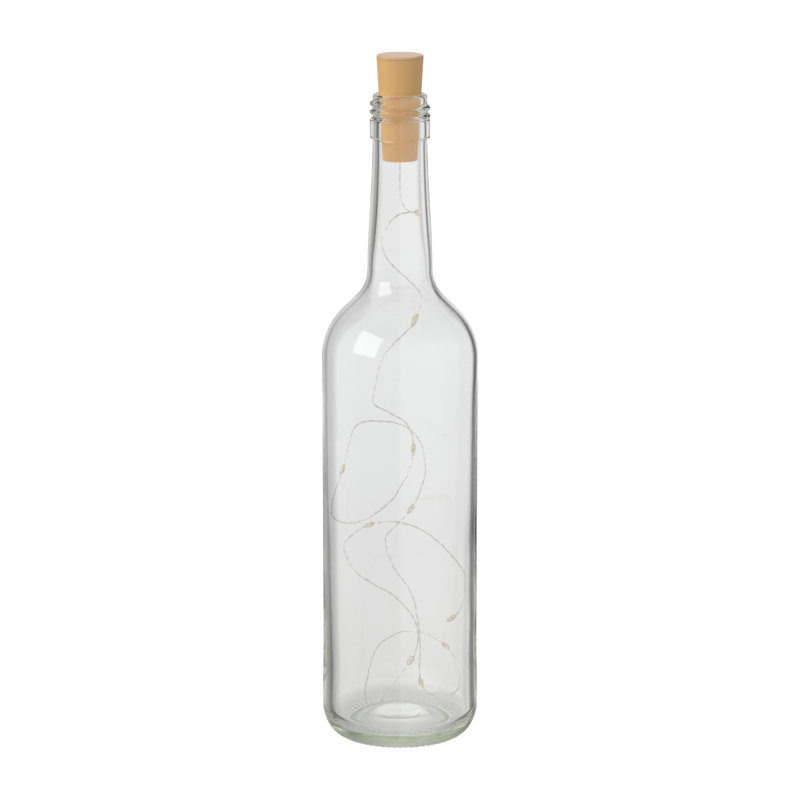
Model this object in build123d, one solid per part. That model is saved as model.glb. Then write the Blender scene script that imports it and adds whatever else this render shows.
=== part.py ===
from build123d import *
import math
import os

# Cork bottle light. Millimetres, Z up. The origin is the centre of the ring that the
# glass bottle stands on, and the bottle's axis is Z.

# Bottle, outside, from the bearing ring upward
body_radius = 37.9
bearing_outer_radius = 27.0
bearing_inner_radius = 24.4
punt_height = 7.0
heel_height = 15.5
band_height = 8.5
flare_height = 26.0
panel_recess = 0.45
panel_height = 122.0
upper_flare_height = 15.5
shoulder_recess = 0.3
neck_base_radius = 15.6
neck_top_radius = 12.8
neck_length = 61.9
shoulder_slope = 45.6
shoulder_round_share = 1.495
neck_round_share = 0.832
# Places up the neck: share of its length, share of its narrowing
neck_shares = ((0.22, 0.11), (0.46, 0.42), (0.72, 0.77))

# Bottle, finish at the mouth
collar_radius = 14.35
collar_height = 8.6
collar_undercut = 1.9
thread_land_radius = 13.0
thread_land_height = 11.8
lip_outer_round = 1.3
lip_inner_round = 1.0
collar_round = 0.5

# Bottle, inside
shoulder_wall = 2.4
middle_wall = 2.75
low_wall = 4.0
floor_thickness = 8.8
floor_rise = 3.6
floor_round = 11.0
bore_narrowing = 0.25
bore_length = 26.0
# Heights of the named walls between the heel and the shoulder, as shares
middle_wall_share = 0.45
low_wall_share = 0.12
# Places down the inside of the neck: share of its length, share of its widening
bore_shares = ((0.32, 0.36), (0.68, 0.76))

# Stopper
stopper_length = 50.0
stopper_insert = 31.5
stopper_top_radius = 11.2
stopper_bottom_radius = 8.3
stopper_edge_round = 0.5
mouth_clearance = 0.12
stopper_floor = 2.5
lower_bore_radius = 5.2
board_ledge = 13.0
board_bore_radius = 6.2
head_seat_radius = 9.4

# Cells and tray
cell_radius = 5.8
cell_height = 5.4
cell_can_height = 4.7
cell_cap_radius = 4.9
cell_edge_round = 0.25
cell_count = 3
cell_clearance = 0.12
tray_wall = 1.45
tray_floor = 1.2
tray_hole_radius = 4.0
tray_head_radius = 9.2
tray_head_thickness = 2.6
tray_key_width = 2.0
tray_key_depth = 0.7
slide_clearance = 0.2
seat_clearance = 0.1

# Cap and switch
cap_thickness = 1.5
cap_edge_round = 0.7
cap_gap = 0.1
hub_radius = 3.0
hub_clearance = 0.15
peg_radius = 0.9
peg_orbit_radius = 6.6
peg_clearance = 0.15
switch_turn = 40.0
screw_head_radius = 3.8
screw_head_height = 0.8
screw_radius = 0.8
screw_length = 2.6
screw_slot_width = 0.6
screw_slot_depth = 0.35
screw_recess_clearance = 0.15
contact_thickness = 0.3
wiper_radius = 1.15
wiper_thickness = 0.35

# Board, contacts and spring in the stopper
board_radius = 6.0
board_thickness = 1.0
resistor_size = (3.2, 1.6, 0.6)
strip_width = 2.4
strip_thickness = 0.3
strip_foot_length = 2.6
strip_groove_clearance = 0.12
spring_wire_radius = 0.25
spring_base_radius = 4.2
spring_top_radius = 2.7
spring_turns = 5
spring_points_per_turn = 6
fit_clearance = 0.05

# Wire bush in the stopper's floor
bush_radius = 1.6
bush_flange_radius = 2.8
bush_flange_height = 0.8

# LED wire and its resin drops
wire_radius = 0.4
wire_corner_share = 0.45
drop_radius = 1.2
drop_end_radius = 0.6
drop_length = 5.2
chip_length = 1.6
chip_width = 0.8
chip_thickness = 0.4
drop_clearance = 0.05

# Route of the LED wire below the stopper, chosen by eye from the photograph. It starts
# at the way out of the bush, which is added in front once that height is known.
wire_points = [
    (0, 0, 278), (0, 0.5, 271), (0, 0, 265), (2, -2, 260.5), (4.6, -3.2, 258.6), (8.2, -3.2, 258.3),
    (8.2, 3.2, 257.7), (4.4, 3.2, 257.4), (0, 2.5, 257), (-4, 1.5, 254.5), (-7, 0.5, 250), (-9, 0, 244),
    (-7.5, 0, 238), (-3, -0.5, 232), (3, -1, 226.5), (7.5, -1.5, 222), (10.5, -2, 217.5),
    (10.2, -3, 213.5), (8.4, -4.2, 209), (5.4, -6, 203.4), (0.8, -8.4, 199.3), (-4.5, -10, 195.5),
    (-9, -10.5, 188), (-11, -12.5, 180.5), (-12, -15, 174), (-13, -17, 169), (-9.5, -16, 166),
    (-4, -14, 163), (1.5, -12, 159.5), (5.4, -11, 154), (6.6, -11, 148.6), (6.2, -11.6, 140.6),
    (4.2, -13.2, 134), (0.5, -16.4, 127.6), (-4.5, -21, 121), (-12.5, -25, 115.5), (-21, -23, 111),
    (-29, -15, 109.5), (-33.5, -5, 112), (-33.5, 4, 115.5), (-31.5, 9.5, 120.5), (-29.6, 12.6, 125.4),
    (-27.4, 16, 131.8), (-25.8, 18.6, 138), (-24.5, 21, 144), (-22, 24, 149), (-15, 28, 149.5),
    (-6.5, 30, 149), (2, 28, 147.5), (9, 25, 142.5), (12.5, 22, 133.5), (13, 21, 124.5),
    (11.2, 21.6, 117), (8, 22.6, 109.6), (3.2, 24.8, 101.8), (-2, 26, 96), (-7, 24.5, 91.5),
    (-7, 21, 87), (-4, 18, 79.5), (1.5, 15, 72), (6, 13, 66.5), (8.5, 13, 57.5), (10, 14, 46),
    (10.5, 15, 34), (9.5, 15.5, 23), (12, 17, 15), (17.5, 17.5, 12), (24, 14.5, 13), (29, 9.5, 16.5),
    (31, 6, 22), (30.5, 8, 28), (28.4, 11.4, 33), (25.6, 15.4, 36.6), (20.6, 20.4, 39.8),
    (14.6, 24.6, 42), (8, 28, 42.6), (-0.5, 29.5, 41), (-8.5, 27, 38), (-13.5, 22, 32.5), (-16, 16, 25),
    (-17.5, 7, 18.5), (-17, -4, 14), (-13, -10, 16.5), (-6.5, -12, 24), (-1, -12, 31), (3.4, -12, 36.4),
    (7.2, -12.4, 43), (9, -13, 50), (8.5, -15, 58), (3, -19, 68.5), (-4, -24, 77), (-13.5, -27, 83),
    (-21, -24, 87.5), (-25, -20, 93.5), (-26.5, -18.5, 99.5), (-22.5, -20.5, 105), (-17, -23.8, 109.8),
    (-11, -26.8, 112.6), (-4, -29.2, 114), (4, -30, 113), (12.5, -26, 107.5), (20, -21, 99.5),
    (27, -14, 89.5), (32, -5, 79.5), (32.5, 1, 70), (30.5, -2, 64), (26.5, -6, 60), (23, -8, 58.5),
]
# Each drop sits on the run that starts at this point of the whole route
drop_runs = [6, 19, 31, 42, 54, 65, 73, 86, 97, 107]

# Heights worked out from the sizes above
band_top = heel_height + band_height
panel_bottom = band_top + flare_height
panel_top = panel_bottom + panel_height
shoulder_base = panel_top + upper_flare_height
panel_radius = body_radius - panel_recess
shoulder_base_radius = body_radius - shoulder_recess
shoulder_drop = shoulder_base_radius - neck_base_radius
shoulder_radius = shoulder_round_share * shoulder_drop
neck_round = neck_round_share * shoulder_drop
slope_sine = math.sin(math.radians(shoulder_slope))
slope_cosine = math.cos(math.radians(shoulder_slope))
slope_length = (shoulder_drop - (shoulder_radius + neck_round) * (1 - slope_cosine)) / slope_sine
neck_base = shoulder_base + (shoulder_radius + neck_round) * slope_sine + slope_length * slope_cosine
neck_top = neck_base + neck_length
collar_bottom = neck_top + collar_undercut
collar_top = collar_bottom + collar_height
lip_height = collar_top + thread_land_height

stopper_bottom = lip_height - stopper_insert
stopper_top = stopper_bottom + stopper_length
rim_height = stopper_top - cap_thickness
stopper_slope = (stopper_top_radius - stopper_bottom_radius) / stopper_length
tray_radius = cell_radius + cell_clearance + tray_wall
bay_radius = tray_radius + slide_clearance
head_underside = rim_height - tray_head_thickness
head_seat = head_underside - seat_clearance
cell_stack_top = head_underside - contact_thickness
cell_stack_bottom = cell_stack_top - cell_count * cell_height
tray_bottom = cell_stack_bottom - tray_floor
bay_floor = tray_bottom - slide_clearance
board_bottom = stopper_bottom + board_ledge
board_top = board_bottom + board_thickness
strip_radius = bay_radius + strip_groove_clearance
groove_radius = strip_radius + strip_thickness + strip_groove_clearance
wire_route = [(0, 0, stopper_bottom)] + wire_points


def stopper_radius_at(height):
    """Outer radius of the stopper's straight taper."""
    return stopper_bottom_radius + stopper_slope * (height - stopper_bottom)


mouth_height = lip_height - lip_inner_round
mouth_radius = stopper_radius_at(mouth_height) + mouth_clearance
bore_radius = mouth_radius - bore_narrowing
bore_bottom = lip_height - bore_length


def lathe(points_face):
    """Turns a face drawn in the XZ plane about Z."""
    return revolve(points_face, axis=Axis.Z)


def turned(radius, bottom, top):
    """A plain cylinder on the axis between two heights."""
    return Pos(0, 0, (bottom + top) / 2) * Cylinder(radius, top - bottom)


def bottle_outside():
    """Draws the bottle's outer line from the punt up to the lip."""
    Spline((0, punt_height), (bearing_inner_radius, 0), tangents=[(1, 0), (1, -1)])
    Line((bearing_inner_radius, 0), (bearing_outer_radius, 0))
    EllipticalCenterArc(
        (bearing_outer_radius, heel_height),
        body_radius - bearing_outer_radius,
        heel_height,
        start_angle=270,
        arc_size=90,
    )
    Polyline(
        (body_radius, heel_height),
        (body_radius, band_top),
        (panel_radius, panel_bottom),
        (panel_radius, panel_top),
        (shoulder_base_radius, shoulder_base),
    )
    CenterArc((shoulder_base_radius - shoulder_radius, shoulder_base), shoulder_radius, 0, shoulder_slope)
    slope_start = (
        shoulder_base_radius - shoulder_radius * (1 - slope_cosine),
        shoulder_base + shoulder_radius * slope_sine,
    )
    slope_end = (
        neck_base_radius + neck_round * (1 - slope_cosine),
        neck_base - neck_round * slope_sine,
    )
    Line(slope_start, slope_end)
    CenterArc((neck_base_radius + neck_round, neck_base), neck_round, 180, shoulder_slope)
    narrowing = neck_base_radius - neck_top_radius
    neck_places = [
        (neck_base_radius - narrowing * inward, neck_base + neck_length * upward)
        for upward, inward in neck_shares
    ]
    Spline(
        (neck_base_radius, neck_base),
        *neck_places,
        (neck_top_radius, neck_top),
        tangents=[(0, 1), (0, 1)],
    )
    Polyline(
        (neck_top_radius, neck_top),
        (collar_radius - collar_round, collar_bottom),
        (collar_radius, collar_bottom + collar_round),
        (collar_radius, collar_top - collar_round),
        (collar_radius - collar_round, collar_top),
        (thread_land_radius, collar_top),
        (thread_land_radius, lip_height - lip_outer_round),
    )
    CenterArc((thread_land_radius - lip_outer_round, lip_height - lip_outer_round), lip_outer_round, 0, 90)


def bottle_inside():
    """Draws the bottle's inner line from the lip down to the floor's middle."""
    Line((thread_land_radius - lip_outer_round, lip_height), (mouth_radius + lip_inner_round, lip_height))
    CenterArc((mouth_radius + lip_inner_round, mouth_height), lip_inner_round, 90, 90)
    Line((mouth_radius, mouth_height), (bore_radius, bore_bottom))
    throat_radius = neck_base_radius - shoulder_wall
    widening = throat_radius - bore_radius
    bore_drop = bore_bottom - neck_base
    bore_places = [
        (bore_radius + widening * outward, bore_bottom - bore_drop * downward)
        for downward, outward in bore_shares
    ]
    Spline(
        (bore_radius, bore_bottom),
        *bore_places,
        (throat_radius, neck_base),
        tangents=[(0, -1), (0, -1)],
    )
    CenterArc((neck_base_radius + neck_round, neck_base), neck_round + shoulder_wall, 180, shoulder_slope)
    inner_round = shoulder_radius - shoulder_wall
    throat_round = neck_round + shoulder_wall
    slope_start = (
        neck_base_radius + neck_round - throat_round * slope_cosine,
        neck_base - throat_round * slope_sine,
    )
    slope_end = (
        shoulder_base_radius - shoulder_radius + inner_round * slope_cosine,
        shoulder_base + inner_round * slope_sine,
    )
    Line(slope_start, slope_end)
    CenterArc((shoulder_base_radius - shoulder_radius, shoulder_base), inner_round, 0, shoulder_slope)
    corner_top = floor_thickness + floor_round
    inner_height = shoulder_base - corner_top
    inner_low_radius = panel_radius - low_wall
    Spline(
        (shoulder_base_radius - shoulder_wall, shoulder_base),
        (panel_radius - middle_wall, corner_top + inner_height * middle_wall_share),
        (inner_low_radius, corner_top + inner_height * low_wall_share),
        (inner_low_radius, corner_top),
        tangents=[(0, -1), (0, -1)],
    )
    CenterArc((inner_low_radius - floor_round, corner_top), floor_round, 270, 90)
    Spline(
        (inner_low_radius - floor_round, floor_thickness),
        (0, floor_thickness + floor_rise),
        tangents=[(-1, 0), (-1, 0)],
    )


def blown_bottle():
    """The whole piece of glass, turned from its section."""
    with BuildSketch(Plane.XZ) as section:
        with BuildLine():
            bottle_outside()
            bottle_inside()
            Line((0, floor_thickness + floor_rise), (0, punt_height))
        make_face()
    return lathe(section.sketch)


def glass_bottle():
    """The glass from the floor to the shoulder's top, where the neck stands on it."""
    return split(blown_bottle(), bisect_by=Plane.XY.offset(neck_base), keep=Keep.BOTTOM)


def glass_neck():
    """The glass of the neck and the screw finish, a plain tube round the bore."""
    return split(blown_bottle(), bisect_by=Plane.XY.offset(neck_base), keep=Keep.TOP)


def tapered_plug(bottom, top):
    """The stopper's outer taper between two heights."""
    with BuildSketch(Plane.XZ) as section:
        with BuildLine():
            Polyline(
                (0, bottom),
                (stopper_radius_at(bottom), bottom),
                (stopper_radius_at(top), top),
                (0, top),
                (0, bottom),
            )
        make_face()
    return lathe(section.sketch)


def stopper_body():
    body = tapered_plug(stopper_bottom, rim_height)
    bottom_edge = body.edges().group_by(Axis.Z)[0]
    body = fillet(bottom_edge, stopper_edge_round)
    body -= turned(bush_radius + fit_clearance, stopper_bottom, stopper_bottom + stopper_floor)
    body -= turned(lower_bore_radius, stopper_bottom + stopper_floor, board_bottom)
    body -= turned(board_bore_radius, board_bottom, bay_floor)
    body -= turned(bay_radius, bay_floor, head_seat)
    body -= turned(head_seat_radius, head_seat, rim_height)
    body -= strip_groove()
    body -= key_groove()
    return body


def strip_groove():
    """Groove for the side contact, down the bay's wall to the board."""
    width = strip_width + 2 * strip_groove_clearance
    height = head_seat - board_bottom
    middle = (board_bottom + head_seat) / 2
    return Pos(-groove_radius / 2, 0, middle) * Box(groove_radius, width, height)


def key_groove():
    """Groove that keeps the tray from turning, cut on the side away from the strip."""
    width = tray_key_width + 2 * slide_clearance
    reach = bay_radius + tray_key_depth
    height = head_seat - bay_floor
    middle = (bay_floor + head_seat) / 2
    return Pos(reach / 2, 0, middle) * Box(reach, width, height)


def wire_bush():
    floor_top = stopper_bottom + stopper_floor
    bush = turned(bush_radius, stopper_bottom, floor_top)
    bush += turned(bush_flange_radius, floor_top, floor_top + bush_flange_height)
    bush -= turned(wire_radius + fit_clearance, stopper_bottom, floor_top + bush_flange_height)
    return bush


def inner_lead():
    return turned(wire_radius, stopper_bottom, board_bottom)


def circuit_board():
    board = turned(board_radius, board_bottom, board_top)
    edges = board.edges().filter_by(GeomType.CIRCLE)
    return chamfer(edges, fit_clearance)


def resistor():
    length, width, height = resistor_size
    return Pos(0, 0, board_top + height / 2) * Box(length, width, height)


def contact_spring():
    """Conical spring from the board up to the lowest cell."""
    low = board_top + spring_wire_radius + fit_clearance
    high = cell_stack_bottom - spring_wire_radius - fit_clearance
    steps = spring_turns * spring_points_per_turn
    points = []
    for step in range(steps + 1):
        along = step / steps
        turn = math.radians(step * 360 / spring_points_per_turn)
        radius = spring_base_radius + (spring_top_radius - spring_base_radius) * along
        points.append((radius * math.cos(turn), radius * math.sin(turn), low + (high - low) * along))
    return tube(points, spring_wire_radius)


def side_contact():
    """Brass strip in the shell's groove, with a foot on the board."""
    bottom = board_top + fit_clearance
    top = head_seat - strip_groove_clearance
    leg = Pos(-(strip_radius + strip_thickness / 2), 0, (bottom + top) / 2)
    strip = leg * Box(strip_thickness, strip_width, top - bottom)
    foot = Pos(-(strip_radius - strip_foot_length / 2), 0, bottom + strip_thickness / 2)
    strip += foot * Box(strip_foot_length, strip_width, strip_thickness)
    return strip


def battery_tray():
    tray = turned(tray_radius, tray_bottom, head_underside)
    tray += turned(tray_head_radius, head_underside, head_underside + tray_head_thickness)
    key_reach = tray_radius + tray_key_depth
    key_middle = (tray_bottom + head_underside) / 2
    key = Pos(key_reach / 2, 0, key_middle) * Box(key_reach, tray_key_width, head_underside - tray_bottom)
    tray += key
    cell_bay_radius = cell_radius + cell_clearance
    tray -= turned(cell_bay_radius, cell_stack_bottom, head_underside)
    window_height = head_underside - cell_stack_bottom
    window_middle = (cell_stack_bottom + head_underside) / 2
    window = Pos(0, -tray_radius / 2, window_middle) * Box(2 * cell_bay_radius, tray_radius, window_height)
    tray -= window
    tray -= turned(tray_hole_radius, tray_bottom, cell_stack_bottom)
    tray -= turned(hub_radius + hub_clearance, head_underside, head_underside + tray_head_thickness)
    recess_top = head_underside + screw_head_height + screw_recess_clearance
    tray -= turned(screw_head_radius + screw_recess_clearance, head_underside, recess_top)
    tray -= peg_slot()
    tray -= tongue_notch()
    return tray


def tongue_notch():
    """Way through the tray's wall for the top contact's tongue."""
    width = strip_width + 2 * strip_groove_clearance
    height = contact_thickness + strip_groove_clearance
    inner_radius = cell_radius - cell_clearance
    length = 2 * (tray_radius - inner_radius)
    return Pos(-tray_radius, 0, head_underside - height / 2) * Box(length, width, height)


def peg_slot():
    """Curved slot in the tray's head that ends the cap's turn."""
    with BuildSketch() as slot:
        SlotArc(
            CenterArc((0, 0), peg_orbit_radius, 90, switch_turn),
            2 * (peg_radius + peg_clearance),
        )
    slot_bottom = Pos(0, 0, head_underside) * slot.sketch
    through = extrude(slot_bottom, tray_head_thickness)
    wiper_height = 2 * wiper_thickness
    with BuildSketch() as room:
        SlotArc(
            CenterArc((0, 0), peg_orbit_radius, 90, switch_turn),
            2 * (wiper_radius + peg_clearance),
        )
    return through + extrude(Pos(0, 0, head_underside) * room.sketch, wiper_height)


def button_cell(index):
    """One cell, with the can below and the smaller cap above."""
    bottom = cell_stack_bottom + index * cell_height
    cell = turned(cell_radius, bottom, bottom + cell_can_height)
    rims = cell.edges().filter_by(GeomType.CIRCLE)
    cell = fillet(rims, cell_edge_round)
    return cell + turned(cell_cap_radius, bottom + cell_can_height, bottom + cell_height)


def top_contact():
    """Brass disc over the stack with a tongue toward the side strip."""
    disc = turned(cell_radius, cell_stack_top, head_underside)
    tongue_end = strip_radius - strip_groove_clearance - fit_clearance
    middle = (cell_stack_top + head_underside) / 2
    tongue = Pos(-tongue_end / 2, 0, middle) * Box(tongue_end, strip_width, contact_thickness)
    return disc + tongue


def twist_cap():
    cap = tapered_plug(rim_height + cap_gap, stopper_top)
    top_edge = cap.edges().group_by(Axis.Z)[-1]
    cap = fillet(top_edge, cap_edge_round)
    hub_bottom = head_underside + screw_head_height + screw_recess_clearance
    cap += turned(hub_radius, hub_bottom, rim_height + cap_gap)
    cap += cap_peg(peg_radius, head_underside + wiper_thickness, rim_height + cap_gap)
    return cap - turned(screw_radius, hub_bottom, hub_bottom + screw_length)


def cap_peg(radius, bottom, top):
    """A peg at the start of the tray's curved slot."""
    return Pos(0, peg_orbit_radius, 0) * turned(radius, bottom, top)


def switch_contact():
    return cap_peg(wiper_radius, head_underside + fit_clearance, head_underside + wiper_thickness)


def cap_screw():
    head_bottom = head_underside + fit_clearance
    head_top = head_underside + screw_head_height + screw_recess_clearance
    screw = turned(screw_head_radius, head_bottom, head_top)
    screw += turned(screw_radius, head_top, head_top + screw_length)
    slot = Pos(0, 0, head_bottom + screw_slot_depth / 2)
    return screw - slot * Box(2 * screw_head_radius, screw_slot_width, screw_slot_depth)


def corner_radii(points):
    """Largest even arc at each corner: a share of the shorter run over the half turn."""
    radii = []
    for before, here, after in zip(points, points[1:], points[2:]):
        run_in = Vector(here) - Vector(before)
        run_out = Vector(after) - Vector(here)
        half_turn = math.radians(run_in.get_angle(run_out) / 2)
        shorter = min(run_in.length, run_out.length)
        radii.append(wire_corner_share * shorter / math.tan(half_turn))
    return radii


def tube(points, radius, radii=None):
    """A round tube along straight runs joined by tangent arcs."""
    path = FilletPolyline(*points, radius=radii or corner_radii(points))
    start = Plane(origin=points[0], z_dir=Vector(points[1]) - Vector(points[0]))
    return sweep(start * Circle(radius), path=path)


def led_wire():
    return tube(wire_route, wire_radius)


def drop_plane(run):
    """Plane at the middle of a run of the wire, facing along it."""
    start, end = Vector(wire_route[run]), Vector(wire_route[run + 1])
    return Plane(origin=(start + end) / 2, z_dir=end - start)


def wire_sleeve(run):
    """The wire near one drop, a clearance larger, to be cut from that drop."""
    first = max(run - 2, 0)
    last = min(run + 3, len(wire_route) - 1)
    radii = corner_radii(wire_route)[first : last - 1]
    return tube(wire_route[first : last + 1], wire_radius + drop_clearance, radii)


def led_chip(run):
    offset = wire_radius + drop_clearance + chip_thickness / 2
    return drop_plane(run).location * Pos(offset, 0, 0) * Box(chip_thickness, chip_width, chip_length)


def led_drop(run):
    """Resin drop cast round the wire and the chip, with a blunt end where the wire leaves."""
    half_length = drop_length / 2
    with BuildSketch(Plane.XZ) as section:
        with BuildLine():
            Line((0, -half_length), (drop_end_radius, -half_length))
            ThreePointArc((drop_end_radius, -half_length), (drop_radius, 0), (drop_end_radius, half_length))
            Polyline((drop_end_radius, half_length), (0, half_length), (0, -half_length))
        make_face()
    drop = drop_plane(run).location * lathe(section.sketch)
    room = 2 * drop_clearance
    offset = wire_radius + drop_clearance + chip_thickness / 2
    pocket = Box(chip_thickness + room, chip_width + room, chip_length + room)
    drop -= wire_sleeve(run)
    drop -= drop_plane(run).location * Pos(offset, 0, 0) * pocket
    return drop


def write(name, shape):
    solids = shape.solids()
    kept = solids[0] if len(solids) == 1 else Compound(children=solids)
    kept.label = name
    export_step(kept, os.path.join("parts", name + ".step"))
    return kept


def main():
    os.makedirs("parts", exist_ok=True)
    write("glass_bottle", glass_bottle())
    write("glass_neck", glass_neck())
    write("stopper_body", stopper_body())
    write("wire_bush", wire_bush())
    write("inner_lead", inner_lead())
    write("circuit_board", circuit_board())
    write("resistor", resistor())
    write("contact_spring", contact_spring())
    write("side_contact", side_contact())
    write("battery_tray", battery_tray())
    for index, place in enumerate(("lower", "middle", "upper")):
        write("cell_" + place, button_cell(index))
    write("top_contact", top_contact())
    write("twist_cap", twist_cap())
    write("switch_contact", switch_contact())
    write("cap_screw", cap_screw())
    wire = write("led_wire", led_wire())
    for number, run in enumerate(drop_runs, start=1):
        write(f"led_drop_{number:02d}", led_drop(run))
        write(f"led_chip_{number:02d}", led_chip(run))
    length = sum(edge.length for edge in FilletPolyline(*wire_route, radius=corner_radii(wire_route)).edges())
    section = math.pi * wire_radius**2
    print("wire length", round(length, 1), "least radius", round(min(corner_radii(wire_route)), 2))
    print("wire volume over section times length", round(wire.volume / (section * length), 4))
    print("lip height", round(lip_height, 2), "stopper top", round(stopper_top, 2))


main()
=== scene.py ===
import bpy
import math
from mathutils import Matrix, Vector, noise


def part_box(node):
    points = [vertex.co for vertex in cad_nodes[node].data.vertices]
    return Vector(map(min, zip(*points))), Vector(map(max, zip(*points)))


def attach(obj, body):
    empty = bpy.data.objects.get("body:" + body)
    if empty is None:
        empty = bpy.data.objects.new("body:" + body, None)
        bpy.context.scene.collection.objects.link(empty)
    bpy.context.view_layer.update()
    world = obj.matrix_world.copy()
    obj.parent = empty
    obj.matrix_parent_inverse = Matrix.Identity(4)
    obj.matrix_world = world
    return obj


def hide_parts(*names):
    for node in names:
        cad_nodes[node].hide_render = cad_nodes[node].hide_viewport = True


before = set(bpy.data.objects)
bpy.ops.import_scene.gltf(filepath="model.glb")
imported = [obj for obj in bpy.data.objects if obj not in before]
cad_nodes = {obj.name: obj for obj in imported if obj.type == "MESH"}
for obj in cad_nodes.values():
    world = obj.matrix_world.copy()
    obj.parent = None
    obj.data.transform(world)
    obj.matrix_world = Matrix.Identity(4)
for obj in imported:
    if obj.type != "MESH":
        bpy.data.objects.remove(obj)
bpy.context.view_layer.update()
bpy.ops.object.select_all(action="DESELECT")


# The bottle: clear flint glass blown in a mould, with a right-hand screw thread under the
# lip, a deep bead below it and a notched ring to stand on. Its half outline is drawn from
# the middle of the punt round to the middle of the floor, and spun.
MM = 0.001
body_radius = 37.9
bearing_inner, bearing_outer = 24.4, 27.0
punt_height = 8.5
heel_height = 15.5
band_top = 24.0
panel_bottom, panel_top = 50.0, 172.0
panel_radius = 37.45
shoulder_base, shoulder_base_radius = 187.5, 37.6
neck_base_radius, neck_top_radius, neck_length = 15.6, 13.0, 61.9
slope_angle = 45.6
shoulder_drop = shoulder_base_radius - neck_base_radius
shoulder_round = 1.495 * shoulder_drop
neck_round = 0.832 * shoulder_drop
collar_radius, ledge_height, ledge_slope, collar_height = 14.35, 1.3, 0.35, 9.2
collar_round, ledge_round = 0.7, 0.6
land_radius, land_height, land_rings = 13.0, 11.8, 36
lip_outer_round, lip_inner_round = 1.3, 1.0
mouth_radius, bore_radius, bore_length = 10.25, 10.0, 26.0
shoulder_wall = 2.4
floor_thickness, floor_rise, floor_round = 8.0, 5.0, 7.0
inner_low_radius, inner_mid_radius, inner_upper_radius = 33.3, 34.5, 34.9
turn_steps = 240
shortest_edge = 0.02

slope_sine = math.sin(math.radians(slope_angle))
slope_cosine = math.cos(math.radians(slope_angle))
slope_length = (shoulder_drop - (shoulder_round + neck_round) * (1 - slope_cosine)) / slope_sine
neck_base = shoulder_base + (shoulder_round + neck_round) * slope_sine + slope_length * slope_cosine
neck_top = neck_base + neck_length
ledge = neck_top + ledge_height
collar_top = ledge + collar_height
lip_height = collar_top + land_height
mouth_height = lip_height - lip_inner_round
bore_bottom = lip_height - bore_length


def bend(centre, reach, start, end, steps):
    """Points round part of a circle or an ellipse, in degrees."""
    places = []
    for step in range(steps + 1):
        turn = math.radians(start + (end - start) * step / steps)
        places.append((centre[0] + reach[0] * math.cos(turn), centre[1] + reach[1] * math.sin(turn)))
    return places


def flow(knots, start_slope, end_slope, steps):
    """A smooth line through knots, as (along, value) pairs, with the slope given at both ends."""
    slopes = [start_slope]
    for before, after in zip(knots, knots[2:]):
        slopes.append((after[1] - before[1]) / (after[0] - before[0]))
    slopes.append(end_slope)
    places = []
    for index, (here, there) in enumerate(zip(knots, knots[1:])):
        span = there[0] - here[0]
        share_steps = max(2, round(steps * abs(span / (knots[-1][0] - knots[0][0]))))
        for step in range(share_steps + 1):
            share = step / share_steps
            square, cube = share**2, share**3
            value = (
                (2 * cube - 3 * square + 1) * here[1]
                + (cube - 2 * square + share) * span * slopes[index]
                + (3 * square - 2 * cube) * there[1]
                + (cube - square) * span * slopes[index + 1]
            )
            places.append((here[0] + span * share, value))
    return places


def corner(before, here, after, reach, steps=5):
    """A rounded corner between two straight runs, as a short bend through three points."""
    start = Vector(here) + (Vector(before) - Vector(here)).normalized() * reach
    end = Vector(here) + (Vector(after) - Vector(here)).normalized() * reach
    places = []
    for step in range(steps + 1):
        share = step / steps
        place = start.lerp(Vector(here), share).lerp(Vector(here).lerp(end, share), share)
        places.append(tuple(place))
    return places


def swap(places):
    """Pairs of (along, value) as (radius, height)."""
    return [(value, along) for along, value in places]


bottle_outline = flow([(0, punt_height), (bearing_inner, 0)], 0, -0.9, 16)
bottle_outline += [(25.2, 0), (26.2, 0), (bearing_outer, 0)]
heel_reach = (body_radius - bearing_outer, heel_height)
bottle_outline += bend((bearing_outer, heel_height), heel_reach, 270, 360, 22)
bottle_outline += [(body_radius, 19.5), (body_radius, band_top), (37.75, 32.0), (37.55, 42.0)]
bottle_outline += [(panel_radius, panel_bottom), (panel_radius, 90.0), (panel_radius, 131.0)]
bottle_outline += [(panel_radius, panel_top), (37.5, 180.0)]
shoulder_centre = (shoulder_base_radius - shoulder_round, shoulder_base)
throat_centre = (neck_base_radius + neck_round, neck_base)
bottle_outline += bend(shoulder_centre, (shoulder_round, shoulder_round), 0, slope_angle, 26)
bottle_outline += bend(throat_centre, (neck_round, neck_round), 180 + slope_angle, 180, 18)
narrowing = neck_base_radius - neck_top_radius
neck_knots = [(neck_base, neck_base_radius)]
for upward, inward in ((0.22, 0.11), (0.46, 0.42), (0.72, 0.77)):
    neck_knots.append((neck_base + neck_length * upward, neck_base_radius - narrowing * inward))
neck_knots.append((neck_top, neck_top_radius))
bottle_outline += swap(flow(neck_knots, 0, 0, 24))
collar_path = [
    (neck_top_radius, neck_top),
    (neck_top_radius, ledge - ledge_slope),
    (collar_radius, ledge),
    (collar_radius, collar_top),
    (land_radius, collar_top),
    (land_radius, lip_height),
]
collar_reaches = (collar_round, ledge_round, collar_round, collar_round)
for before, here, after, reach in zip(collar_path, collar_path[1:], collar_path[2:], collar_reaches):
    bottle_outline += corner(before, here, after, reach)
land_bottom = collar_top + collar_round
land_top = lip_height - lip_outer_round
for ring in range(1, land_rings):
    bottle_outline.append((land_radius, land_bottom + (land_top - land_bottom) * ring / land_rings))
lip_centre = (land_radius - lip_outer_round, lip_height - lip_outer_round)
bottle_outline += bend(lip_centre, (lip_outer_round, lip_outer_round), 0, 90, 8)
mouth_centre = (mouth_radius + lip_inner_round, mouth_height)
bottle_outline += bend(mouth_centre, (lip_inner_round, lip_inner_round), 90, 180, 7)
bottle_outline += [(mouth_radius - 0.08, lip_height - 9), (mouth_radius - 0.16, lip_height - 17)]
throat_radius = neck_base_radius - shoulder_wall
widening = throat_radius - bore_radius
bore_knots = [(bore_bottom, bore_radius)]
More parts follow.
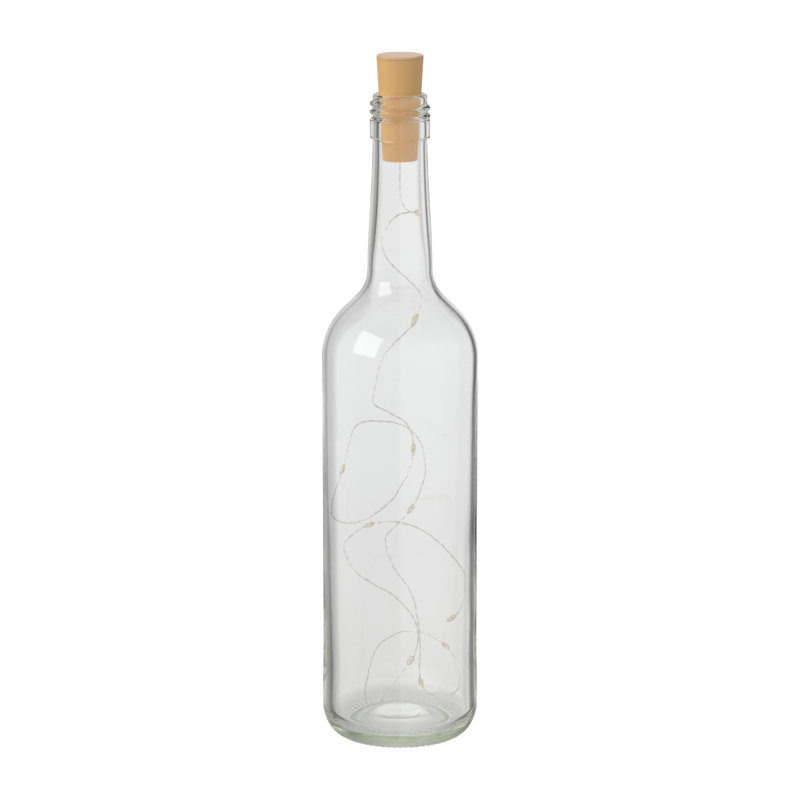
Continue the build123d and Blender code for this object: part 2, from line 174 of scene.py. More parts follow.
for downward, outward in ((0.32, 0.12), (0.5, 0.25), (0.7, 0.5)):
    bore_height = bore_bottom - (bore_bottom - neck_base) * downward
    bore_knots.append((bore_height, bore_radius + widening * outward))
bore_knots.append((neck_base, throat_radius))
bottle_outline += swap(flow(bore_knots, 0, -0.03, 20))
throat_round = neck_round + shoulder_wall
bottle_outline += bend(throat_centre, (throat_round, throat_round), 180, 180 + slope_angle, 18)
inner_round = shoulder_round - shoulder_wall
bottle_outline += bend(shoulder_centre, (inner_round, inner_round), slope_angle, 0, 22)
corner_top = floor_thickness + floor_round
wall_knots = [
    (shoulder_base, shoulder_base_radius - shoulder_wall),
    (150.0, inner_upper_radius),
    (116.0, inner_mid_radius),
    (91.0, 33.85),
    (40.0, inner_low_radius),
    (corner_top, inner_low_radius),
]
bottle_outline += swap(flow(wall_knots, 0, 0, 48))
floor_centre = (inner_low_radius - floor_round, corner_top)
bottle_outline += bend(floor_centre, (floor_round, floor_round), 360, 270, 14)
floor_knots = [(inner_low_radius - floor_round, floor_thickness), (0, floor_thickness + floor_rise)]
bottle_outline += flow(floor_knots, 0, 0, 12)

bpy.ops.mesh.primitive_plane_add(size=MM, location=(0, 0, bottle_outline[0][1] * MM))
clear_bottle = bpy.context.object
clear_bottle.name = "clear_bottle"
bpy.ops.object.transform_apply(location=True)
bpy.ops.object.mode_set(mode="EDIT")
bpy.ops.mesh.merge(type="CENTER")
last_place = bottle_outline[0]
for place in bottle_outline[1:]:
    step = ((place[0] - last_place[0]) * MM, 0, (place[1] - last_place[1]) * MM)
    if math.hypot(*step) > shortest_edge * MM:
        bpy.ops.mesh.extrude_region_move(TRANSFORM_OT_translate={"value": step})
        last_place = place
bpy.ops.mesh.select_all(action="SELECT")
bpy.ops.mesh.spin(steps=turn_steps, angle=2 * math.pi, center=(0, 0, 0), axis=(0, 0, 1))
bpy.ops.mesh.select_all(action="SELECT")
bpy.ops.mesh.remove_doubles(threshold=0.000005)
bpy.ops.mesh.normals_make_consistent(inside=False)
bpy.ops.object.mode_set(mode="OBJECT")

# The thread rises anticlockwise, a little over two turns of it, and fades into the land
# at both ends. The notches round the ring are pressed in by the mould's base, and the
# blown wall is a little thicker on one side.
thread_pitch, thread_depth, thread_half_width = 3.93, 1.4, 1.4
thread_start, thread_end, thread_fade = -215.0, 622.0, 38.0
thread_height_at_front_right = lip_height - 10.5
notch_count, notch_depth = 64, 1.1
notch_inner, notch_outer, notch_top = 27.5, 34.0, 4.0
notch_inner_fade, notch_outer_fade = 1.2, 4.0
wall_drift, drift_bottom, drift_top, drift_radius = 0.35, 30.0, 180.0, 36.0


def ease(share):
    """A soft step from 0 to 1."""
    share = min(max(share, 0), 1)
    return share * share * (3 - 2 * share)


for point in clear_bottle.data.vertices:
    radius = math.hypot(point.co.x, point.co.y) / MM
    height = point.co.z / MM
    turn = math.degrees(math.atan2(point.co.y, point.co.x)) % 360
    if radius > land_radius - 0.7 and collar_top + 0.05 < height < lip_height - 0.2:
        rise = 0
        for lap in (-1, 0, 1):
            along = turn + 360 * lap
            away = abs(height - thread_height_at_front_right - thread_pitch * along / 360)
            if thread_start < along < thread_end and away < thread_half_width:
                fade = ease((along - thread_start) / thread_fade) * ease((thread_end - along) / thread_fade)
                crest = (1 - (away / thread_half_width) ** 2) ** 0.7
                rise = max(rise, thread_depth * crest * fade)
        point.co.x *= (radius + rise) / radius
        point.co.y *= (radius + rise) / radius
    if notch_inner < radius < notch_outer and height < notch_top:
        ring = ease((radius - notch_inner) / notch_inner_fade)
        ring *= ease((notch_outer - radius) / notch_outer_fade)
        notch = (0.5 - 0.5 * math.cos(math.radians(turn * notch_count))) ** 1.5
        point.co.z += notch_depth * notch * ring * MM
    if drift_bottom < height < drift_top and radius < drift_radius:
        swell = math.sin(math.pi * (height - drift_bottom) / (drift_top - drift_bottom))
        point.co.x -= wall_drift * swell * MM
bpy.ops.object.select_all(action="DESELECT")
clear_bottle.select_set(True)
bpy.context.view_layer.objects.active = clear_bottle
bpy.ops.object.shade_smooth()


def new_finish(name):
    """A fresh node material with its shader and a helper to add nodes."""
    finish = bpy.data.materials.new(name)
    finish.use_nodes = True
    return finish, finish.node_tree.nodes, finish.node_tree.links, finish.node_tree.nodes["Principled BSDF"]


# Flint glass is clear through a thin wall and sage green where the light runs a long way
# in it, and a blown wall is never quite even.
bottle_glass, shader_nodes, shader_links, shader = new_finish("flint_glass")
shader.inputs["Base Color"].default_value = (1, 1, 1, 1)
shader.inputs["IOR"].default_value = 1.52
shader.inputs["Transmission Weight"].default_value = 1.0
wall_place = shader_nodes.new("ShaderNodeTexCoord")
wall_waves = shader_nodes.new("ShaderNodeTexNoise")
wall_waves.inputs["Scale"].default_value = 22
wall_waves.inputs["Detail"].default_value = 1
wall_bump = shader_nodes.new("ShaderNodeBump")
wall_bump.inputs["Strength"].default_value = 0.07
wall_bump.inputs["Distance"].default_value = 0.004
shader_links.new(wall_place.outputs["Object"], wall_waves.inputs["Vector"])
shader_links.new(wall_waves.outputs["Fac"], wall_bump.inputs["Height"])
shader_links.new(wall_bump.outputs["Normal"], shader.inputs["Normal"])
underside_parts = shader_nodes.new("ShaderNodeSeparateXYZ")
underside_frost = shader_nodes.new("ShaderNodeMapRange")
underside_frost.interpolation_type = "SMOOTHSTEP"
underside_frost.inputs["From Min"].default_value = 0.0088
underside_frost.inputs["From Max"].default_value = 0.004
underside_frost.inputs["To Max"].default_value = 0.52
shader_links.new(wall_place.outputs["Object"], underside_parts.inputs["Vector"])
shader_links.new(underside_parts.outputs["Z"], underside_frost.inputs["Value"])
shader_links.new(underside_frost.outputs["Result"], shader.inputs["Roughness"])
glass_depth = shader_nodes.new("ShaderNodeVolumeAbsorption")
glass_depth.inputs["Color"].default_value = (0.9, 0.97, 0.62, 1)
glass_depth.inputs["Density"].default_value = 10
glass_output = shader_nodes["Material Output"]
shader_links.new(glass_depth.outputs["Volume"], glass_output.inputs["Volume"])
clear_bottle.data.materials.append(bottle_glass)
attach(clear_bottle, "bottle")
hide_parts("glass_bottle", "glass_neck")


# Fine moulded texture, shared by the plastics: a slow drift of tone, a fine grain and
# small changes of gloss.
def new_skin(name, colours, values):
    """An empty node group that puts out a colour, a roughness and a normal."""
    group = bpy.data.node_groups.new(name, "ShaderNodeTree")
    for socket in colours:
        group.interface.new_socket(name=socket, in_out="INPUT", socket_type="NodeSocketColor")
    for socket in values:
        group.interface.new_socket(name=socket, in_out="INPUT", socket_type="NodeSocketFloat")
    for socket, kind in (("Color", "Color"), ("Roughness", "Float"), ("Normal", "Vector")):
        group.interface.new_socket(name=socket, in_out="OUTPUT", socket_type="NodeSocket" + kind)
    return group, group.nodes.new("NodeGroupInput"), group.nodes.new("NodeGroupOutput")


def skinned(name, skin, values):
    """A material whose colour, gloss and relief come from a shared group with its own values."""
    finish, made_nodes, made_links, made_shader = new_finish(name)
    surface = made_nodes.new("ShaderNodeGroup")
    surface.node_tree = skin
    for socket, value in values.items():
        surface.inputs[socket].default_value = value
    made_links.new(surface.outputs["Color"], made_shader.inputs["Base Color"])
    made_links.new(surface.outputs["Roughness"], made_shader.inputs["Roughness"])
    made_links.new(surface.outputs["Normal"], made_shader.inputs["Normal"])
    return finish, made_shader


def moulded_skin():
    """A slow drift of tone under a fine grain."""
    group, given, made = new_skin(
        "moulded_skin", ("Pale", "Deep"), ("Drift Scale", "Grain Scale", "Grain Depth", "Gloss")
    )
    place = group.nodes.new("ShaderNodeTexCoord")
    drift = group.nodes.new("ShaderNodeTexNoise")
    drift.inputs["Detail"].default_value = 3
    grain = group.nodes.new("ShaderNodeTexNoise")
    grain.inputs["Detail"].default_value = 4
    tone = group.nodes.new("ShaderNodeMix")
    tone.data_type = "RGBA"
    gloss = group.nodes.new("ShaderNodeMath")
    gloss.operation = "MULTIPLY_ADD"
    gloss.inputs[1].default_value = 0.12
    bump = group.nodes.new("ShaderNodeBump")
    bump.inputs["Distance"].default_value = 0.0002
    link = group.links.new
    link(place.outputs["Object"], drift.inputs["Vector"])
    link(place.outputs["Object"], grain.inputs["Vector"])
    link(given.outputs["Drift Scale"], drift.inputs["Scale"])
    link(given.outputs["Grain Scale"], grain.inputs["Scale"])
    link(drift.outputs["Fac"], tone.inputs["Factor"])
    link(given.outputs["Deep"], tone.inputs["A"])
    link(given.outputs["Pale"], tone.inputs["B"])
    link(grain.outputs["Fac"], gloss.inputs[0])
    link(given.outputs["Gloss"], gloss.inputs[2])
    link(given.outputs["Grain Depth"], bump.inputs["Strength"])
    link(grain.outputs["Fac"], bump.inputs["Height"])
    link(tone.outputs["Result"], made.inputs["Color"])
    link(gloss.outputs["Value"], made.inputs["Roughness"])
    link(bump.outputs["Normal"], made.inputs["Normal"])
    return group


moulded = moulded_skin()


def plastic(name, pale, deep, drift=60, grain=1400, depth=0.25, gloss=0.36):
    """A moulded plastic finish from the shared skin."""
    values = {
        "Pale": (*pale, 1),
        "Deep": (*deep, 1),
        "Drift Scale": drift,
        "Grain Scale": grain,
        "Grain Depth": depth,
        "Gloss": gloss,
    }
    return skinned(name, moulded, values)[0]


def dress(finish, *names):
    """Gives CAD nodes a finish."""
    for name in names:
        for material_slot in cad_nodes[name].material_slots:
            material_slot.material = finish


# The stopper's shell and its lift-out tray: one tan moulding each, smooth and satin.
stopper_plastic = plastic("tan_plastic", (0.8, 0.47, 0.19), (0.75, 0.435, 0.17))
dress(stopper_plastic, "stopper_body", "battery_tray")

# The cap turns on the tray to switch the lights. It is the same plastic, but its colour is made paler and
# greyer than the shell's as a painted sheen, standing in for the soft reflection on its top face.
cap_plastic_painted_sheen = plastic("cap_tan_painted_sheen", (0.72, 0.47, 0.275), (0.67, 0.43, 0.24), gloss=0.26)
dress(cap_plastic_painted_sheen, "twist_cap")

# The bush that leads the wire out through the shell's floor.
bush_plastic = plastic("pale_bush", (0.78, 0.76, 0.7), (0.7, 0.68, 0.62), gloss=0.4)
dress(bush_plastic, "wire_bush")


# The board: green laminate with a resistor on it.
board_laminate = plastic("green_laminate", (0.03, 0.2, 0.07), (0.02, 0.14, 0.05), drift=400, gloss=0.2)
dress(board_laminate, "circuit_board")
resistor_body = plastic("black_resistor", (0.03, 0.03, 0.035), (0.015, 0.015, 0.017), drift=900, gloss=0.25)
dress(resistor_body, "resistor")


# Plated and bare metals share one brushed look: fine lines along an axis and a patchy tarnish.
def brushed_skin():
    """Fine lines under a patchy tone."""
    group, given, made = new_skin("brushed_skin", ("Bright", "Dull"), ("Line Scale", "Gloss"))
    place = group.nodes.new("ShaderNodeTexCoord")
    stretch = group.nodes.new("ShaderNodeMapping")
    stretch.inputs["Scale"].default_value = (1, 1, 0.08)
    lines = group.nodes.new("ShaderNodeTexNoise")
    lines.inputs["Detail"].default_value = 3
    patches = group.nodes.new("ShaderNodeTexNoise")
    patches.inputs["Scale"].default_value = 350
    tone = group.nodes.new("ShaderNodeMix")
    tone.data_type = "RGBA"
    gloss = group.nodes.new("ShaderNodeMath")
    gloss.operation = "MULTIPLY_ADD"
    gloss.inputs[1].default_value = 0.15
    bump = group.nodes.new("ShaderNodeBump")
    bump.inputs["Distance"].default_value = 0.00005
    bump.inputs["Strength"].default_value = 0.3
    link = group.links.new
    link(place.outputs["Object"], stretch.inputs["Vector"])
    link(stretch.outputs["Vector"], lines.inputs["Vector"])
    link(place.outputs["Object"], patches.inputs["Vector"])
    link(given.outputs["Line Scale"], lines.inputs["Scale"])
    link(patches.outputs["Fac"], tone.inputs["Factor"])
    link(given.outputs["Dull"], tone.inputs["A"])
    link(given.outputs["Bright"], tone.inputs["B"])
    link(lines.outputs["Fac"], gloss.inputs[0])
    link(given.outputs["Gloss"], gloss.inputs[2])
    link(lines.outputs["Fac"], bump.inputs["Height"])
    link(tone.outputs["Result"], made.inputs["Color"])
    link(gloss.outputs["Value"], made.inputs["Roughness"])
    link(bump.outputs["Normal"], made.inputs["Normal"])
    return group


brushed = brushed_skin()


def metal(name, bright, dull, lines=2500, gloss=0.22):
    """A metal finish from the shared brushed look."""
    values = {"Bright": (*bright, 1), "Dull": (*dull, 1), "Line Scale": lines, "Gloss": gloss}
    finish, made_shader = skinned(name, brushed, values)
    made_shader.inputs["Metallic"].default_value = 1
    return finish


# Plated spring, brass contacts, nickelled cells and the cap's screw.
dress(metal("plated_spring", (0.74, 0.74, 0.75), (0.6, 0.6, 0.61)), "contact_spring")
brass = metal("yellow_brass", (0.78, 0.6, 0.28), (0.62, 0.45, 0.2))
dress(brass, "side_contact", "top_contact", "switch_contact")
nickel = metal("nickelled_can", (0.76, 0.76, 0.77), (0.64, 0.64, 0.66))
dress(nickel, "cell_lower", "cell_middle", "cell_upper")
dress(metal("plated_screw", (0.7, 0.7, 0.71), (0.56, 0.56, 0.57)), "cap_screw")
wire_silver = metal("silvered_strand", (1.0, 0.99, 0.96), (0.74, 0.73, 0.71), gloss=0.3)
dress(wire_silver, "inner_lead")


# The LED wire: two silvered copper strands, lacquered and twisted together, that hang from
# the stopper's bush and lie in loops down to the floor. The points are the CAD route's.
strand_radius = 0.0002
strand_offset = 0.0002
twist_pitch = 0.009
strand_step = 0.0005
wire_route = [
    (0, 0, 0.28326), (0, 0, 0.278), (0, 0.0005, 0.271), (0, 0, 0.265), (0.002, -0.002, 0.2605),
    (0.0046, -0.0032, 0.2586), (0.0082, -0.0032, 0.2583), (0.0082, 0.0032, 0.2577),
    (0.0044, 0.0032, 0.2574), (0, 0.0025, 0.257), (-0.004, 0.0015, 0.2545), (-0.007, 0.0005, 0.25),
    (-0.009, 0, 0.244), (-0.0075, 0, 0.238), (-0.003, -0.0005, 0.232), (0.003, -0.001, 0.2265),
    (0.0075, -0.0015, 0.222), (0.0105, -0.002, 0.2175), (0.0102, -0.003, 0.2135),
    (0.0084, -0.0042, 0.209), (0.0054, -0.006, 0.2034), (0.0008, -0.0084, 0.1993),
    (-0.0045, -0.01, 0.1955), (-0.009, -0.0105, 0.188), (-0.011, -0.0125, 0.1805),
    (-0.012, -0.015, 0.174), (-0.013, -0.017, 0.169), (-0.0095, -0.016, 0.166),
    (-0.004, -0.014, 0.163), (0.0015, -0.012, 0.1595), (0.0054, -0.011, 0.154),
    (0.0066, -0.011, 0.1486), (0.0062, -0.0116, 0.1406), (0.0042, -0.0132, 0.134),
    (0.0005, -0.0164, 0.1276), (-0.0045, -0.021, 0.121), (-0.0125, -0.025, 0.1155),
    (-0.021, -0.023, 0.111), (-0.029, -0.015, 0.1095), (-0.0335, -0.005, 0.112),
    (-0.0335, 0.004, 0.1155), (-0.0315, 0.0095, 0.1205), (-0.0296, 0.0126, 0.1254),
    (-0.0274, 0.016, 0.1318), (-0.0258, 0.0186, 0.138), (-0.0245, 0.021, 0.144),
    (-0.022, 0.024, 0.149), (-0.015, 0.028, 0.1495), (-0.0065, 0.03, 0.149), (0.002, 0.028, 0.1475),
    (0.009, 0.025, 0.1425), (0.0125, 0.022, 0.1335), (0.013, 0.021, 0.1245), (0.0112, 0.0216, 0.117),
    (0.008, 0.0226, 0.1096), (0.0032, 0.0248, 0.1018), (-0.002, 0.026, 0.096),
    (-0.007, 0.0245, 0.0915), (-0.007, 0.021, 0.087), (-0.004, 0.018, 0.0795), (0.0015, 0.015, 0.072),
    (0.006, 0.013, 0.0665), (0.0085, 0.013, 0.0575), (0.01, 0.014, 0.046), (0.0105, 0.015, 0.034),
    (0.0095, 0.0155, 0.023), (0.012, 0.017, 0.015), (0.0175, 0.0175, 0.012), (0.024, 0.0145, 0.013),
    (0.029, 0.0095, 0.0165), (0.031, 0.006, 0.022), (0.0305, 0.008, 0.028), (0.0284, 0.0114, 0.033),
    (0.0256, 0.0154, 0.0366), (0.0206, 0.0204, 0.0398), (0.0146, 0.0246, 0.042),
    (0.008, 0.028, 0.0426), (-0.0005, 0.0295, 0.041), (-0.0085, 0.027, 0.038),
    (-0.0135, 0.022, 0.0325), (-0.016, 0.016, 0.025), (-0.0175, 0.007, 0.0185),
    (-0.017, -0.004, 0.014), (-0.013, -0.01, 0.0165), (-0.0065, -0.012, 0.024),
    (-0.001, -0.012, 0.031), (0.0034, -0.012, 0.0364), (0.0072, -0.0124, 0.043), (0.009, -0.013, 0.05),
    (0.0085, -0.015, 0.058), (0.003, -0.019, 0.0685), (-0.004, -0.024, 0.077),
    (-0.0135, -0.027, 0.083), (-0.021, -0.024, 0.0875), (-0.025, -0.02, 0.0935),
    (-0.0265, -0.0185, 0.0995), (-0.0225, -0.0205, 0.105), (-0.017, -0.0238, 0.1098),
    (-0.011, -0.0268, 0.1126), (-0.004, -0.0292, 0.114), (0.004, -0.03, 0.113),
    (0.0125, -0.026, 0.1075), (0.02, -0.021, 0.0995), (0.027, -0.014, 0.0895), (0.032, -0.005, 0.0795),
    (0.0325, 0.001, 0.07), (0.0305, -0.002, 0.064), (0.0265, -0.006, 0.06), (0.023, -0.008, 0.0585),
]
bpy.ops.curve.primitive_nurbs_path_add()
route_curve = bpy.context.object
route_curve.data.splines.clear()
route_line = route_curve.data.splines.new("NURBS")
route_line.points.add(len(wire_route) - 1)
for route_point, place in zip(route_line.points, wire_route):
    route_point.co = (*place, 1)
route_line.order_u = 3
route_line.use_endpoint_u = True
route_curve.data.resolution_u = 16
line_mesh = bpy.data.meshes.new_from_object(route_curve)
fine_line = [point.co.copy() for point in line_mesh.vertices]
wire_line = [fine_line[0]]
for place in fine_line[1:]:
    while (place - wire_line[-1]).length > strand_step:
        wire_line.append(wire_line[-1] + (place - wire_line[-1]).normalized() * strand_step)
wire_line.append(fine_line[-1])
bpy.data.objects.remove(route_curve)
bpy.data.meshes.remove(line_mesh)

# Handling leaves small kinks in the wire below its first drop. Without a seed they would
# follow the clock.
kink_size, kink_length, kink_start = 0.0004, 0.007, 0.095
kink_seed = 1796021737
noise.seed_set(kink_seed)
for index, place in enumerate(wire_line):
    along = index * strand_step
    kink = noise.noise_vector(Vector((along / kink_length, 0, 0))) * kink_size
    wire_line[index] = place + kink * ease((along - kink_start) / kink_length)

strands = []
for lead in (0, math.pi):
    strand_curve = bpy.data.curves.new("strand", "CURVE")
    strand_curve.dimensions = "3D"
    strand_curve.bevel_depth = strand_radius
    strand_curve.bevel_resolution = 1
    strand_curve.use_fill_caps = True
    strand_line = strand_curve.splines.new("POLY")
    strand_line.points.add(len(wire_line) - 1)
    side = Vector((1, 0, 0))
    for index, place in enumerate(wire_line):
        ahead = (wire_line[min(index + 1, len(wire_line) - 1)] - wire_line[max(index - 1, 0)]).normalized()
        side = (side - ahead * side.dot(ahead)).normalized()
        twist = lead + 2 * math.pi * index * strand_step / twist_pitch
        out = side * math.cos(twist) + ahead.cross(side) * math.sin(twist)
        strand_line.points[index].co = (*(place + out * strand_offset), 1)
    strand = bpy.data.objects.new("strand", strand_curve)
    bpy.context.scene.collection.objects.link(strand)
    strands.append(strand)
bpy.ops.object.select_all(action="DESELECT")
for strand in strands:
    strand.select_set(True)
bpy.context.view_layer.objects.active = strands[0]
bpy.ops.object.convert(target="MESH")
bpy.ops.object.join()
twisted_wire = bpy.context.object
twisted_wire.name = "twisted_wire"
bpy.ops.object.shade_smooth()
twisted_wire.data.materials.clear()
twisted_wire.data.materials.append(wire_silver)
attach(twisted_wire, "stopper")
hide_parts("led_wire")


# The resin drops: a bead of clear epoxy round each LED, drawn out along the wire and
# slightly yellow. Each sits on the run of the route that its CAD drop sits on.
drop_runs = [6, 19, 31, 42, 54, 65, 73, 86, 97, 107]
drop_radius, drop_length = 0.0014, 0.0056
drop_widths = [1.22, 0.95, 0.95, 1, 1, 1, 1, 1.22, 1, 1]
drop_reaches = [0.9, 1.18, 1.1, 1, 1, 1, 1, 0.95, 1, 1]
drop_resin, shader_nodes, shader_links, shader = new_finish("clear_epoxy")
shader.inputs["Base Color"].default_value = (1.0, 0.975, 0.88, 1)
shader.inputs["Roughness"].default_value = 0.12
shader.inputs["IOR"].default_value = 1.4
shader.inputs["Transmission Weight"].default_value = 0.65
resin_place = shader_nodes.new("ShaderNodeTexCoord")
resin_waves = shader_nodes.new("ShaderNodeTexNoise")
resin_waves.inputs["Scale"].default_value = 500
resin_bump = shader_nodes.new("ShaderNodeBump")
resin_bump.inputs["Strength"].default_value = 0.2
resin_bump.inputs["Distance"].default_value = 0.0003
shader_links.new(resin_place.outputs["Object"], resin_waves.inputs["Vector"])
shader_links.new(resin_waves.outputs["Fac"], resin_bump.inputs["Height"])
shader_links.new(resin_bump.outputs["Normal"], shader.inputs["Normal"])

bpy.ops.mesh.primitive_uv_sphere_add(segments=24, ring_count=18, radius=1)
drop_model = bpy.context.object
for point in drop_model.data.vertices:
    along = point.co.z
    swell = 1 - 0.22 * along
    point.co.x *= drop_radius * swell * 0.94
    point.co.y *= drop_radius * swell * 0.86
    point.co.z = along * drop_length / 2
bpy.ops.object.shade_smooth()

# The LED inside each drop: a white ceramic chip with its yellow phosphor window toward
# the outside.
chip_phosphor, shader_nodes, shader_links, shader = new_finish("phosphor_window")
chip_place = shader_nodes.new("ShaderNodeTexCoord")
chip_grain = shader_nodes.new("ShaderNodeTexNoise")
chip_grain.inputs["Scale"].default_value = 3000
chip_tone = shader_nodes.new("ShaderNodeMix")
chip_tone.data_type = "RGBA"
chip_tone.inputs["A"].default_value = (0.88, 0.62, 0.26, 1)
chip_tone.inputs["B"].default_value = (0.95, 0.76, 0.42, 1)
shader_links.new(chip_place.outputs["Object"], chip_grain.inputs["Vector"])
shader_links.new(chip_grain.outputs["Fac"], chip_tone.inputs["Factor"])
shader_links.new(chip_tone.outputs["Result"], shader.inputs["Base Color"])
shader.inputs["Roughness"].default_value = 0.5

chip_length, chip_width, chip_thickness = 0.0016, 0.0008, 0.0004
chip_offset = 0.00045 + chip_thickness / 2
bpy.ops.mesh.primitive_cube_add(size=1)
chip_model = bpy.context.object
chip_model.scale = (chip_thickness, chip_width, chip_length)
bpy.ops.object.transform_apply(scale=True)
bpy.ops.object.mode_set(mode="EDIT")
bpy.ops.mesh.select_all(action="SELECT")
bpy.ops.mesh.bevel(offset=0.00006, segments=2)
bpy.ops.object.mode_set(mode="OBJECT")

for number, run in enumerate(drop_runs, start=1):
    run_start, run_end = Vector(wire_route[run]), Vector(wire_route[run + 1])
    middle = (run_start + run_end) / 2
    ahead = (run_end - run_start).normalized()
    chip_low, chip_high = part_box(f"led_chip_{number:02d}")
    toward_chip = (chip_low + chip_high) / 2 - middle
    toward_chip = (toward_chip - ahead * toward_chip.dot(ahead)).normalized()
    across = ahead.cross(toward_chip)
    drop_shape = (drop_widths[number - 1], drop_reaches[number - 1])
    for kind, model, finish, slot_name, offset, (wide, long) in (
        ("drop", drop_model, drop_resin, "drop_resin", 0.0, drop_shape),
        ("chip", chip_model, chip_phosphor, "chip_phosphor", chip_offset, (1, 1)),
    ):
        piece = bpy.data.objects.new(f"resin_{kind}_{number:02d}", model.data.copy())
        bpy.context.scene.collection.objects.link(piece)
        for point in piece.data.vertices:
            place = toward_chip * (point.co.x * wide + offset) + across * point.co.y * wide
            point.co = middle + place + ahead * point.co.z * long
        piece.data.materials.clear()
        piece.data.materials.append(finish)
        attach(piece, "stopper")
        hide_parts(f"led_{kind}_{number:02d}")
bpy.data.objects.remove(drop_model)
bpy.data.objects.remove(chip_model)


# The studio: a pale floor that runs out of sight, one softbox high on the left, and a
# world that gives the glass a bright ground with darker gaps for its edges to catch.
bpy.ops.mesh.primitive_plane_add(size=24)
studio_floor = bpy.context.object
studio_floor.name = "studio_floor"
studio_floor.visible_glossy = False
studio_floor.visible_transmission = False
floor_white, shader_nodes, shader_links, shader = new_finish("floor_white")
shader.inputs["Base Color"].default_value = (0.35, 0.35, 0.35, 1)
shader.inputs["Roughness"].default_value = 0.9
shader.inputs["Specular IOR Level"].default_value = 0.1
floor_ray = shader_nodes.new("ShaderNodeLightPath")
shader.inputs["Emission Color"].default_value = (1, 1, 1, 1)
floor_glow = shader_nodes.new("ShaderNodeMath")
floor_glow.operation = "MULTIPLY"
floor_glow.inputs[1].default_value = 0.82
shader_links.new(floor_ray.outputs["Is Camera Ray"], floor_glow.inputs[0])
shader_links.new(floor_glow.outputs["Value"], shader.inputs["Emission Strength"])
studio_floor.data.materials.append(floor_white)

key_target = Vector((0, 0, 0.2))
key_azimuth, key_elevation, key_distance = math.radians(57), math.radians(28), 1.2
key_width, key_height = 0.86, 0.74
key_offset = Vector((
    -math.sin(key_azimuth) * math.cos(key_elevation),
    -math.cos(key_azimuth) * math.cos(key_elevation),
    math.sin(key_elevation),
)) * key_distance

# The softbox is two lamps in one place, and only the first is mirrored in the glass.
for light_name, light_energy, shows_in_glass in (("key_softbox", 3.8, True), ("key_fill", 3.5, False)):
    key_data = bpy.data.lights.new(light_name, "AREA")
    key_data.shape = "RECTANGLE"
    key_data.size, key_data.size_y = key_width, key_height
    key_data.energy = light_energy
    key_light = bpy.data.objects.new(light_name, key_data)
    key_light.visible_glossy = shows_in_glass
    key_light.location = key_target + key_offset
    key_light.rotation_euler = (-key_offset).to_track_quat("-Z", "Y").to_euler()
    bpy.context.scene.collection.objects.link(key_light)

world = bpy.data.worlds.new("studio_world")
bpy.context.scene.world = world
world.use_nodes = True
sky_nodes, sky_links = world.node_tree.nodes, world.node_tree.links
background = sky_nodes["Background"]
sky_place = sky_nodes.new("ShaderNodeTexCoord")
sky_parts = sky_nodes.new("ShaderNodeSeparateXYZ")
sky_links.new(sky_place.outputs["Generated"], sky_parts.inputs["Vector"])


def sum_of(operation, first, second=None, third=None):
    """One step of the world's arithmetic; a socket is linked and a number is set."""
    node = sky_nodes.new("ShaderNodeMath")
    node.operation = operation
    for index, value in enumerate((first, second, third)):
        if isinstance(value, bpy.types.NodeSocket):
            sky_links.new(value, node.inputs[index])
        elif value is not None:
            node.inputs[index].default_value = value
    return node.outputs["Value"]


def step_of(value, start, end, low, high):
    """A soft step from low to high as the value goes from start to end."""
    node = sky_nodes.new("ShaderNodeMapRange")
    node.interpolation_type = "SMOOTHSTEP"
    for socket, number in (("From Min", start), ("From Max", end), ("To Min", low), ("To Max", high)):
        node.inputs[socket].default_value = number
    sky_links.new(value, node.inputs["Value"])
    return node.outputs["Result"]


sky_turn = sum_of("ARCTAN2", sky_parts.outputs["X"], sky_parts.outputs["Y"])
sky_round = sum_of("MULTIPLY_ADD", sky_turn, 0.5 / math.pi, 0.5)
sky_ramp = sky_nodes.new("ShaderNodeValToRGB")
sky_links.new(sky_round, sky_ramp.inputs["Fac"])
sky_stops = [
    (-180, 0.84), (-72, 0.84), (-66, 0.12), (-53, 0.12), (-45, 0.3), (-38, 0.4), (-30, 0.42), (-24, 0.5),
    (-19, 0.64), (-14, 0.78), (-7, 0.83), (0, 0.84), (14, 0.84), (17, 0.76), (20, 0.45), (24, 0.16),
    (35, 0.14), (40, 0.5), (46, 0.84), (180, 0.84),
]
ramp_stops = sky_ramp.color_ramp.elements
for stop, (degrees, level) in enumerate(sky_stops):
    share = 0.5 + degrees / 360
    entry = ramp_stops[stop] if stop in (0, 1) else ramp_stops.new(share)
    entry.position = share
    entry.color = (level, level, level, 1)

# The gaps fade toward the zenith and are weaker for a ray that has crossed both walls.
open_ground, soft_level = 0.84, 0.72
ground_dip, zenith_dip, shaded_dip = -0.22, -0.3, -0.07
left_panel, right_panel, both_walls = -0.45, 0.42, 0.45
sky_ray = sky_nodes.new("ShaderNodeLightPath")
upright = step_of(sum_of("ABSOLUTE", sky_parts.outputs["Z"]), 0.9, 0.6, 0.0, 1.0)
crossings = step_of(sky_ray.outputs["Transmission Depth"], 2.5, 3.5, 1.0, both_walls)
gaps = sum_of("MULTIPLY", sum_of("SUBTRACT", sky_ramp.outputs["Color"], open_ground), crossings)
below = sum_of("ADD", step_of(sky_parts.outputs["Z"], -0.18, -0.5, 0.0, ground_dip), open_ground)
zenith = step_of(sky_parts.outputs["Z"], 0.35, 0.75, 0.0, zenith_dip)
studio_level = sum_of("ADD", sum_of("MULTIPLY_ADD", gaps, upright, below), zenith)

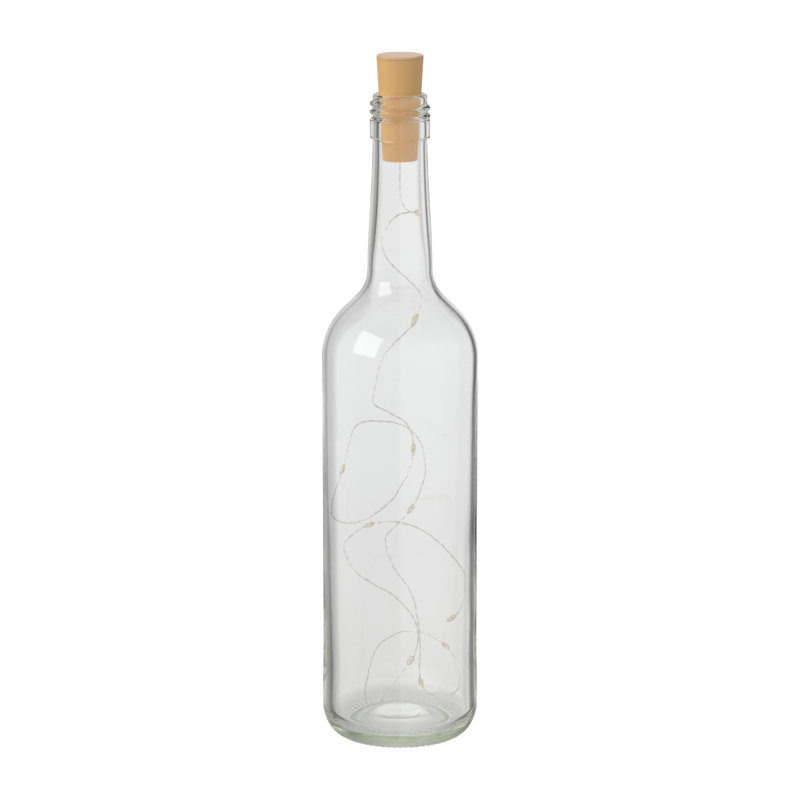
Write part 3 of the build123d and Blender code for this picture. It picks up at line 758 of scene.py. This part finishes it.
# In the glass's mirror the front of the studio is dark on the left and bright on the right.
front = step_of(sky_parts.outputs["Y"], -0.1, -0.6, 0.0, 1.0)
panel = step_of(sky_parts.outputs["X"], -0.05, 0.05, left_panel, right_panel)
mirrored = sum_of("SUBTRACT", sky_ray.outputs["Is Glossy Ray"], sky_ray.outputs["Is Transmission Ray"])
mirrored = sum_of("MAXIMUM", mirrored, 0.0)
studio_level = sum_of("MULTIPLY_ADD", sum_of("MULTIPLY", front, panel), mirrored, studio_level)

# Rays that show the studio in the glass and the metals see it so. The light on the pieces is
# softer and even, and the camera sees plain white.
sharp_ray = sum_of("MAXIMUM", sky_ray.outputs["Is Glossy Ray"], sky_ray.outputs["Is Transmission Ray"])
after_diffuse = sum_of("MINIMUM", sky_ray.outputs["Diffuse Depth"], 1.0)
sight = sum_of("MULTIPLY", sharp_ray, sum_of("SUBTRACT", 1.0, after_diffuse))
sky_level = sum_of("MULTIPLY_ADD", sight, sum_of("SUBTRACT", studio_level, soft_level), soft_level)
sky_level = sum_of("MULTIPLY_ADD", sum_of("MULTIPLY", sharp_ray, after_diffuse), shaded_dip, sky_level)
camera_level = sum_of("MULTIPLY", sky_ray.outputs["Is Camera Ray"], sum_of("SUBTRACT", 1.0, sky_level))
sky_links.new(sum_of("ADD", sky_level, camera_level), background.inputs["Strength"])
cool_ground = sky_nodes.new("ShaderNodeMix")
cool_ground.data_type = "RGBA"
cool_ground.inputs["A"].default_value = (1, 1, 1, 1)
cool_ground.inputs["B"].default_value = (0.98, 0.98, 1, 1)
sky_links.new(sight, cool_ground.inputs["Factor"])
sky_links.new(cool_ground.outputs["Result"], background.inputs["Color"])

# The camera: a long lens a little above the bottle, as in the photograph.
camera_place = Vector((0, -1.6961, 0.5544))
aim_height = 0.16634
camera_data = bpy.data.cameras.new("camera")
camera_data.sensor_width = 36
camera_data.lens = 162.68
camera_data.clip_end = 100
camera = bpy.data.objects.new("camera", camera_data)
camera.location = camera_place
camera_aim = Vector((0, 0, aim_height)) - camera_place
camera.rotation_euler = camera_aim.to_track_quat("-Z", "Y").to_euler()
bpy.context.scene.collection.objects.link(camera)
bpy.context.scene.camera = camera
bpy.context.scene.view_settings.view_transform = "Standard"

# Thick glass passes light on many times from wall to wall.
light_paths = bpy.context.scene.cycles
light_paths.max_bounces = 32
light_paths.glossy_bounces = 24
light_paths.transmission_bounces = 32
light_paths.blur_glossy = 0
